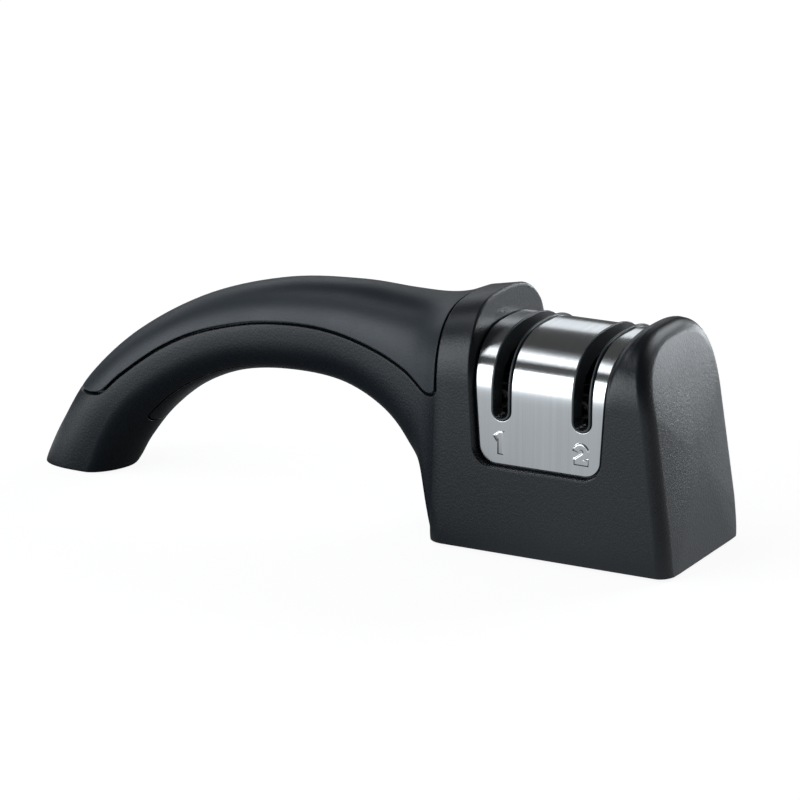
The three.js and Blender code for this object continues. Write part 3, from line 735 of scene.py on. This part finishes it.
def brushedSteel():
    material, tree = newFinish("brushed_stainless_steel")
    uv = addNode(tree, "ShaderNodeUVMap", uv_map="brush")
    scratch = addNode(tree, "ShaderNodeMapping", {
        "Vector": uv, "Scale": (1 / brushing["line"], 1 / brushing["length"], 1)})
    fine = addNode(tree, "ShaderNodeTexNoise", {
        "Vector": scratch, "Scale": 1.0, "Detail": 4.0, "Roughness": 0.7})
    stripe = addNode(tree, "ShaderNodeMapping", {
        "Vector": uv, "Scale": (1 / brushing["band"], 1 / brushing["bandLength"], 1)})
    broad = addNode(tree, "ShaderNodeTexNoise", {"Vector": stripe, "Scale": 1.0, "Detail": 2.0})
    both = addNode(tree, "ShaderNodeMath", {0: fine, 1: broad}, operation="ADD")
    (low, high), usual, swing = brushing["noiseSpan"], brushing["roughness"], brushing["roughSwing"]
    share = addNode(tree, "ShaderNodeMapRange", {"Value": both, "From Min": low, "From Max": high})
    dark, light = hexColour(brushing["dark"]), hexColour(brushing["colour"])
    colour = addNode(tree, "ShaderNodeMix", {"Factor": share, "A": dark, "B": light}, data_type="RGBA")
    rough = addNode(tree, "ShaderNodeMapRange", {
        "Value": share, "To Min": usual + swing, "To Max": usual - swing})
    bump = addNode(tree, "ShaderNodeBump", {"Height": fine, "Distance": brushing["relief"] * mm})
    tangent = addNode(tree, "ShaderNodeTangent", direction_type="UV_MAP", uv_map="brush")
    return closeFinish(material, {
        "Base Color": colour.outputs["Result"], "Metallic": 1.0, "Roughness": rough,
        "Normal": bump, "Anisotropic": brushing["anisotropy"], "Tangent": tangent})


def brushMap(piece):
    # across the arch, and along it from the crest, both in millimetres
    rise, power = saddle["top"] - spring, saddle["power"]
    track = [Vector(point) for point in archOutline(steelHalf, steelHalf, saddle["top"], power)[2:]]
    crest = len(track) // 2
    along = [0.0]
    for a, b in zip(track[crest:], track[crest + 1:]):
        along.append(along[-1] + (b - a).length)
    layer = piece.data.uv_layers.new(name="brush")
    for loop in piece.data.loops:
        x, y, z = piece.data.vertices[loop.vertex_index].co / mm
        c = min(abs(y) / steelHalf, 1) ** (power / 2)
        s = max((z - spring) / rise, 0) ** (power / 2)
        place = (1 - math.atan2(s, c) / (math.pi / 2)) * crest
        step = min(int(place), crest - 1)
        length = along[step] + (along[step + 1] - along[step]) * (place - step) + max(spring - z, 0)
        layer.data[loop.index].uv = (x, math.copysign(length, y))


def wear(piece, material):
    piece.data.materials.clear()
    piece.data.materials.append(material)


steelFinish = brushedSteel()
for piece in [saddlePiece] + markPieces:
    brushMap(piece)
    wear(piece, steelFinish)
for piece in (main, coverPiece):
    wear(piece, housingFinish)
wear(gripPiece, gripFinish)
for piece in liners:
    wear(piece, linerFinish)

# Diamond grit held in nickel: sharp facets that glint, coarse in stage 1 and fine in stage 2.
# Real grains are too fine to show, so they are drawn several times as large
gritLook = {"dark": "#3c3f42", "roughness": (0.3, 0.65), "relief": 0.2, "metal": 0.75}


def diamondGrit(name, code, grit):
    material, tree = newFinish(name)
    place = addNode(tree, "ShaderNodeTexCoord").outputs["Object"]
    grains = addNode(tree, "ShaderNodeTexVoronoi", {"Vector": place, "Scale": 1 / (grit * mm)})
    facet = addNode(tree, "ShaderNodeSeparateColor", {"Color": grains.outputs["Color"]}).outputs
    dark, light = hexColour(gritLook["dark"]), hexColour(code)
    tone = addNode(tree, "ShaderNodeMix", {"Factor": facet["Red"], "A": dark, "B": light}, data_type="RGBA")
    smooth, dull = gritLook["roughness"]
    rough = addNode(tree, "ShaderNodeMapRange", {"Value": facet["Green"], "To Min": smooth, "To Max": dull})
    bump = addNode(tree, "ShaderNodeBump", {
        "Height": grains.outputs["Distance"], "Distance": -gritLook["relief"] * grit * mm})
    return closeFinish(material, {
        "Base Color": tone.outputs["Result"], "Metallic": gritLook["metal"],
        "Roughness": rough, "Normal": bump})


# Ground steel of axles, washers and screws: rings left by the wheel, drawn wider than real so that they show
grinding = {"ring": 0.2, "length": 5, "colour": "#b2b5b8", "roughness": (0.18, 0.42)}


def groundSteel():
    material, tree = newFinish("ground_carbon_steel")
    place = addNode(tree, "ShaderNodeTexCoord").outputs["Object"]
    along, across = 1 / (grinding["length"] * mm), 1 / (grinding["ring"] * mm)
    rings = addNode(tree, "ShaderNodeMapping", {"Vector": place, "Scale": (along, across, along)})
    lines = addNode(tree, "ShaderNodeTexNoise", {"Vector": rings, "Scale": 1.0, "Detail": 2.0})
    smooth, dull = grinding["roughness"]
    rough = addNode(tree, "ShaderNodeMapRange", {"Value": lines, "To Min": smooth, "To Max": dull})
    return closeFinish(material, {
        "Base Color": hexColour(grinding["colour"]), "Metallic": 1.0, "Roughness": rough})


coarseGrit = diamondGrit("coarse_diamond_in_nickel", "#6c6f72", grit=0.38)
fineGrit = diamondGrit("fine_diamond_in_nickel", "#76797b", grit=0.2)
steelPins = groundSteel()
# Natural acetal of the bushes: waxy off-white
bushFinish = mouldedPlastic("natural_acetal", "#dedbd0", roughness=0.42, grain=0.4, relief=0.003, patch=10)
# Glass-filled nylon inside: dark grey with a dry, flecked skin
innerFinish = mouldedPlastic("glass_filled_nylon", "#303338", roughness=0.58, grain=0.6, relief=0.012,
                             patch=8)
# Rubber feet: dull black, slightly dusty
footFinish = mouldedPlastic("moulded_rubber", "#1a1b1c", roughness=0.82, grain=0.5, relief=0.015, patch=6)
print("finishes made")


# Geometry Nodes: copies of a piece on the points of a mesh, each turned by a random share of a turn
def copyTree():
    tree = bpy.data.node_groups.new("copies_on_points", "GeometryNodeTree")
    for name, kind in [("Points", "Geometry"), ("Piece", "Object"), ("Finish", "Material"),
                       ("Turn", "Vector"), ("Seed", "Int")]:
        tree.interface.new_socket(name, in_out="INPUT", socket_type="NodeSocket" + kind)
    tree.interface.new_socket("Copies", in_out="OUTPUT", socket_type="NodeSocketGeometry")
    given = addNode(tree, "NodeGroupInput").outputs
    piece = addNode(tree, "GeometryNodeObjectInfo", {"Object": given["Piece"]})
    turn = addNode(tree, "FunctionNodeRandomValue", {"Max": given["Turn"], "Seed": given["Seed"]},
                   data_type="FLOAT_VECTOR")
    placed = addNode(tree, "GeometryNodeInstanceOnPoints", {
        "Points": given["Points"], "Instance": piece.outputs["Geometry"], "Rotation": turn})
    whole = addNode(tree, "GeometryNodeRealizeInstances", {"Geometry": placed})
    finished = addNode(tree, "GeometryNodeSetMaterial", {"Geometry": whole, "Material": given["Finish"]})
    addNode(tree, "NodeGroupOutput", {"Copies": finished})
    return tree


copies = copyTree()


def copiesAt(name, places, master, material, turn, seed):
    spots = meshObject(name, places, [], 0.0)
    maker = spots.modifiers.new("copies", "NODES")
    maker.node_group = copies
    wanted = {"Piece": master, "Finish": material, "Turn": turn, "Seed": seed}
    for item in copies.interface.items_tree:
        if item.in_out == "INPUT" and item.name in wanted:
            maker[item.identifier] = wanted[item.name]
    return settle(spots)


def middle(node):
    low, high = boxOf(node)
    return tuple((a + b) / 2 for a, b in zip(low, high))


# Wheels, their axles and the rings and bushes beside them
stage = {
    "wheelRadius": 6, "rim": 1.6, "hub": 3, "pitch": 4, "endPlay": 0.15, "bore": 1.75, "edge": 0.18,
    "wheelSides": 96, "wheelSeed": 7, "chamfers": {"axle": 0.3, "spacer": 0.12, "thrust_washer": 0.1},
    "bushWall": 1, "bushEdge": 0.2, "flangeWall": 1.8, "flangeThickness": 0.65, "flangeEdge": 0.1,
}


def wheelProfile():
    r, hub, edge = stage["wheelRadius"], stage["hub"], stage["edge"]
    rim, reach = stage["rim"] / 2, stage["pitch"] / 2 - stage["endPlay"]
    half = [(r, rim - edge), (r - edge, rim), (hub + edge, rim), (hub, rim + edge), (hub, reach - edge),
            (hub - edge, reach), (stage["bore"], reach)]
    return [(radius, -along) for radius, along in half[::-1]] + half


def bushProfile(inner, outer):
    # a flange on the inside, then the sleeve that sits in the cradle
    bore, sleeveEdge, edge = stage["bore"], stage["bushEdge"], stage["flangeEdge"]
    sleeve, flange = bore + stage["bushWall"], bore + stage["flangeWall"]
    face = inner + stage["flangeThickness"]
    rim = [(flange - edge, inner), (flange, inner + edge), (flange, face - edge), (flange - edge, face)]
    barrel = [(sleeve, face), (sleeve, outer - sleeveEdge), (sleeve - sleeveEdge, outer)]
    return [(bore, inner)] + rim + barrel + [(bore, outer)]


dressed = []             # piece, body, replaced nodes, slot
wheelMaster = smoothShade(lathe("wheel master", wheelProfile(), "y", sides=stage["wheelSides"]))
for side in stageSides:
    grit, slot = (coarseGrit, "coarse_diamond") if side.startswith("1") else (fineGrit, "fine_diamond")
    nodes = [f"wheel_{side}_{i}" for i in (1, 2, 3)]
    spots, anyTurn = [middle(node) for node in nodes], (0, 2 * math.pi, 0)
    wheels = copiesAt(f"grit_wheels_{side}", spots, wheelMaster, grit, anyTurn, stage["wheelSeed"])
    dressed.append((wheels, f"wheels_{side}", nodes, slot))
    for kind, edge in stage["chamfers"].items():
        node = f"{kind}_{side}"
        low, high = boxOf(node)
        x, _, z = middle(node)
        radius, bore = ((high[2] - low[2]) / 2, 0) if kind == "axle" else (stage["hub"], stage["bore"])
        piece = lathe(f"turned_{node}", chamfered(radius, bore, low[1], high[1], edge), "y", (x, 0, z))
        wear(smoothShade(piece), steelPins)
        dressed.append((piece, f"wheels_{side}", [node], "axle_steel"))
    for end, sign in [("front", -1), ("back", 1)]:
        node = f"bush_{side}_{end}"
        low, high = boxOf(node)
        profile = bushProfile(*sorted((abs(low[1]), abs(high[1]))))
        centre = (axlePlace[side][0] / mm, 0, axlePlace[side][2] / mm)
        piece = lathe(f"moulded_{node}", [(r, sign * a) for r, a in profile], "y", centre)
        wear(smoothShade(piece), bushFinish)
        dressed.append((piece, "root", [node], "bush_plastic"))
bpy.data.objects.remove(wheelMaster)
print("stages:", len(dressed), "turned pieces")

# Feet and screws under the head, and the pad under the handle's tip
base = {
    "footRadius": 4.8, "footHeight": 1.8, "footRound": 0.5, "footEdge": 0.15, "roundSteps": 6,
    "headRadius": 2.5, "headHeight": 0.9, "headEdge": [(-0.35, 0), (-0.1, 0.12), (0, 0.35)],
    "shank": 1.3, "core": 1.02, "pitch": 0.5, "length": 9, "neck": 0.2, "plain": 1.2, "point": (0.2, 0.8),
    "cross": (3.0, 0.62), "crossTaper": [(-1, 1.1), (0.55, 0.75)], "screwSides": 48, "screwSeed": 3,
    "padRound": 0.35, "padLip": (0.1, 0.12), "padSides": 72,
}


def footMaster():
    r, edge, top = base["footRadius"], base["footRound"], base["footHeight"]
    under = arc(r - edge, edge, edge, -90, 0, base["roundSteps"])
    upper = [(r, top - base["footEdge"]), (r - base["footEdge"], top), (0, top)]
    return lathe("foot master", [(0, 0)] + under + upper, "z")


def screwMaster():
    head, top, shank, core = base["headRadius"], base["headHeight"], base["shank"], base["core"]
    pitch, end = base["pitch"], base["length"]
    pointRadius, pointLength = base["point"]
    profile = [(0, 0)] + [(head + out, up) for out, up in base["headEdge"]] + [(head, top), (shank, top)]
    for i in range(int((end - top - base["plain"]) / pitch)):
        low = top + base["neck"] + i * pitch
        profile += [(core, low), (shank, low + pitch / 2)]
    profile += [(core, end - pointLength), (pointRadius, end), (0, end)]
    screw = lathe("screw master", profile, "z", sides=base["screwSides"])
    long, wide = base["cross"]
    for a, b in [(long / 2, wide / 2), (wide / 2, long / 2)]:
        corners = [(-a, -b), (a, -b), (a, b), (-a, b)]
        rings = [[(x * taper, y * taper, z) for x, y in corners] for z, taper in base["crossTaper"]]
        cutAway(screw, loft("cross", rings, 0.0))
    return screw


for name, kind, maker, material, slot, turn in [
    ("rubber_feet", "foot", footMaster, footFinish, "foot_rubber", 0),
    ("cross_screws", "base_screw", screwMaster, steelPins, "axle_steel", math.pi),
]:
    nodes = [f"{kind}_{i}" for i in (1, 2, 3, 4)]
    spots = [middle(node)[:2] + (boxOf(node)[0][2],) for node in nodes]
    master = smoothShade(maker())
    piece = copiesAt(name, spots, master, material, (0, 0, turn), base["screwSeed"])
    bpy.data.objects.remove(master)
    dressed.append((piece, "root", nodes, slot))

low, high = boxOf("tip_pad")
padX = middle("tip_pad")[0] - shiftX
lip, lipInset = base["padLip"]
turns = spread(0, 2 * math.pi, base["padSides"])[:-1]
levels = [(low[2], base["padRound"]), (low[2] + lip, lipInset), (low[2] + base["padRound"], 0), (high[2], 0)]
rings = []
for z, inset in levels:
    a, b = (high[0] - low[0]) / 2 - inset, (high[1] - low[1]) / 2 - inset
    rings.append([(padX + a * math.cos(t), b * math.sin(t), z) for t in turns])
pad = smoothShade(loft("rubber_tip_pad", rings))
wear(pad, footFinish)
dressed.append((pad, "root", ["tip_pad"], "foot_rubber"))
print("feet, screws and tip pad made")

# The inner pieces keep their own solids, with a better finish
for node in ("base_plate", "wheel_cradle_1", "wheel_cradle_2"):
    for slot in frame["nodes"][node].material_slots:
        slot.material = innerFinish

# Each piece rides on its body and stands for its nodes
dressed += [
    (main, "root", ["main_housing"], "housing_plastic"),
    (gripPiece, "root", ["top_grip"], "soft_grip"),
    (coverPiece, "root", ["underside_cover"], "housing_plastic"),
    (saddlePiece, "root", ["steel_saddle"], "brushed_steel"),
    (liners[0], "root", ["slot_liner_1"], "gloss_plastic"),
    (liners[1], "root", ["slot_liner_2"], "gloss_plastic"),
    (markPieces[0], "root", [], "brushed_steel"),
    (markPieces[1], "root", [], "brushed_steel"),
]
for piece, body, nodes, slot in dressed:
    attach(piece, body)
    if nodes:
        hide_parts(*nodes)

# Studio: a pale floor, and panels of light at the angles that the steel shows
studio = {
    "floorSize": 14000, "floorDrop": 0.1, "floorColour": "#e4e4e4", "floorRoughness": 0.9, "sky": 0.08,
    "white": 1.29, "shadowShare": 0.3,        # white for the camera, and how much of the shadow it sees
    # what gloss sees of the floor: a painted shadow under the handle, and painted light and shade changing
    # along an axis
    "shadeMiddle": (-45, -30), "shadeReach": (86, 68), "shadeEdge": (0.6, 1.4), "shadeLevel": 0.1,
    # painted light and shade along the floor's axes, seen by gloss only
    "paintedRamps": {        # axis, start and end in metres, first and last value
        "front": ("Y", -0.14, -0.42, 0.6, 1.3), "left": ("X", -0.1, -0.2, 1.0, 2.0),
        "behind": ("Y", 0.015, 0.08, 0.0, 1.0), "beside": ("X", 0.1, 0.0, 0.0, 1.0),
    },
    # painted shade: how dark gloss sees the floor behind and beside the handle
    "paintedBackShadeLevel": 0.12,                        # behind and beside the handle
    "tint": "#f4faff", "aimHeight": 0.04,
    "panels": {       # bearing from the front, elevation; distance, width, height in metres; radiance
        "front_panel": (-36, 14.5, 1.6, 1.66, 0.84, 3.7),
        "top_strip": (-60, 59.0, 1.4, 1.2, 0.3, 2.5),
        "back_left_panel": (-130, 21, 1.6, 1.8, 0.42, 1.2),
        "back_right_strip": (158, 1.8, 1.6, 1.3, 0.16, 13.4),
        "right_strip": (156, 30, 1.5, 0.8, 0.4, 6.0),
    },
}


def directionAt(bearing, elevation):
    b, e = math.radians(bearing), math.radians(elevation)
    return Vector((math.sin(b) * math.cos(e), -math.cos(b) * math.cos(e), math.sin(e)))


def lookBack(place, away):
    # a lamp or a camera at this place that looks against the direction
    return Matrix.Translation(place) @ away.to_track_quat("Z", "Y").to_matrix().to_4x4()


def addPanel(name, bearing, elevation, distance, width, height, radiance):
    away = directionAt(bearing, elevation)
    lamp = bpy.data.lights.new(name, "AREA")
    lamp.shape = "RECTANGLE"
    lamp.size, lamp.size_y = width, height
    lamp.energy = radiance * math.pi * width * height      # watts that give this radiance
    lamp.color = hexColour(studio["tint"])[:3]
    panel = bpy.data.objects.new(name, lamp)
    scene.collection.objects.link(panel)
    panel.matrix_world = lookBack(away * distance + Vector((0, 0, studio["aimHeight"])), away)


def paperFloor():
    # matt paper that takes the light and the shadow and shows white to the camera; gloss sees it as a
    # painted reflection, with painted shade under and behind the handle and painted light to the front and
    # left
    material, tree = newFinish("matt_paper")
    matt = addNode(tree, "ShaderNodeBsdfPrincipled", {
        "Base Color": hexColour(studio["floorColour"]), "Roughness": studio["floorRoughness"]})
    rays = addNode(tree, "ShaderNodeLightPath").outputs
    isGlossy = rays["Is Glossy Ray"]
    place = addNode(tree, "ShaderNodeTexCoord").outputs["Object"]
    axes = addNode(tree, "ShaderNodeSeparateXYZ", {0: place}).outputs
    # painted shadow: an ellipse of floor under the handle that gloss sees dark
    (midX, midY), (reachX, reachY) = studio["shadeMiddle"], studio["shadeReach"]
    under = addNode(tree, "ShaderNodeMapping", {
        "Vector": place, "Location": (-midX / reachX, -midY / reachY, 0),
        "Scale": (1 / (reachX * mm), 1 / (reachY * mm), 0)})
    reach = addNode(tree, "ShaderNodeVectorMath", {0: under}, operation="LENGTH")
    inner, outer = studio["shadeEdge"]
    shade = addNode(tree, "ShaderNodeMapRange", {
        "Value": reach.outputs["Value"], "From Min": inner, "From Max": outer,
        "To Min": studio["shadeLevel"]}, interpolation_type="SMOOTHSTEP")
    # painted light brighter to the front and to the left, and painted shade behind and beside the handle,
    # for gloss only
    paintedRamps = {}
    for name, (axis, start, end, first, last) in studio["paintedRamps"].items():
        paintedRamps[name] = addNode(tree, "ShaderNodeMapRange", {
            "Value": axes[axis], "From Min": start, "From Max": end, "To Min": first, "To Max": last})
    corner = addNode(tree, "ShaderNodeMath", {0: paintedRamps["behind"], 1: paintedRamps["beside"]}, operation="MULTIPLY")
    paintedBackShade = addNode(tree, "ShaderNodeMapRange", {
        "Value": corner, "To Min": 1.0, "To Max": studio["paintedBackShadeLevel"]})
    gloss = shade
    for factor in (paintedRamps["front"], paintedRamps["left"], paintedBackShade):
        gloss = addNode(tree, "ShaderNodeMath", {0: gloss, 1: factor}, operation="MULTIPLY")
    strength = addNode(tree, "ShaderNodeMix", {"Factor": isGlossy, "A": studio["white"], "B": gloss})
    colour = addNode(tree, "ShaderNodeMix", {
        "Factor": isGlossy, "A": (1, 1, 1, 1), "B": hexColour(studio["tint"])}, data_type="RGBA")
    white = addNode(tree, "ShaderNodeEmission", {"Color": colour.outputs["Result"], "Strength": strength})
    seen = addNode(tree, "ShaderNodeMath", {0: rays["Is Camera Ray"], 1: rays["Is Transmission Ray"]},
                   operation="MAXIMUM")
    shown = addNode(tree, "ShaderNodeMath", {0: seen, 1: 1 - studio["shadowShare"]}, operation="MULTIPLY")
    share = addNode(tree, "ShaderNodeMath", {0: isGlossy, 1: shown}, operation="MAXIMUM")
    mixed = addNode(tree, "ShaderNodeMixShader", {0: share, 1: matt, 2: white})
    addNode(tree, "ShaderNodeOutputMaterial", {"Surface": mixed})
    return material


for name, values in studio["panels"].items():
    addPanel(name, *values)

half, drop = studio["floorSize"] / 2, -studio["floorDrop"]
corners = [(-half, -half, drop), (half, -half, drop), (half, half, drop), (-half, half, drop)]
floor = meshObject("floor", corners, [(0, 1, 2, 3)], 0.0)
wear(floor, paperFloor())

world = bpy.data.worlds.new("studio")
scene.world = world
world.use_nodes = True
sky = world.node_tree.nodes["Background"]
sky.inputs["Color"].default_value = (studio["sky"], studio["sky"], studio["sky"], 1)

# Camera at the photograph's angle, on a long lens
view = {
    "bearing": 28.3, "elevation": 16.3, "place": (594.4, -1082.6, 392.9),
    "lens": 198.0, "sensor": 36.0, "clipEnd": 50.0,       # the last in metres
}
camera = bpy.data.objects.new("camera", bpy.data.cameras.new("camera"))
scene.collection.objects.link(camera)
camera.data.lens, camera.data.sensor_width = view["lens"], view["sensor"]
camera.data.clip_end = view["clipEnd"]
x, y, z = view["place"]
towards = directionAt(view["bearing"], view["elevation"])
camera.matrix_world = lookBack(((x + shiftX) * mm, y * mm, z * mm), towards)
scene.camera = camera
scene.view_settings.view_transform = "Standard"

print("scene ready")
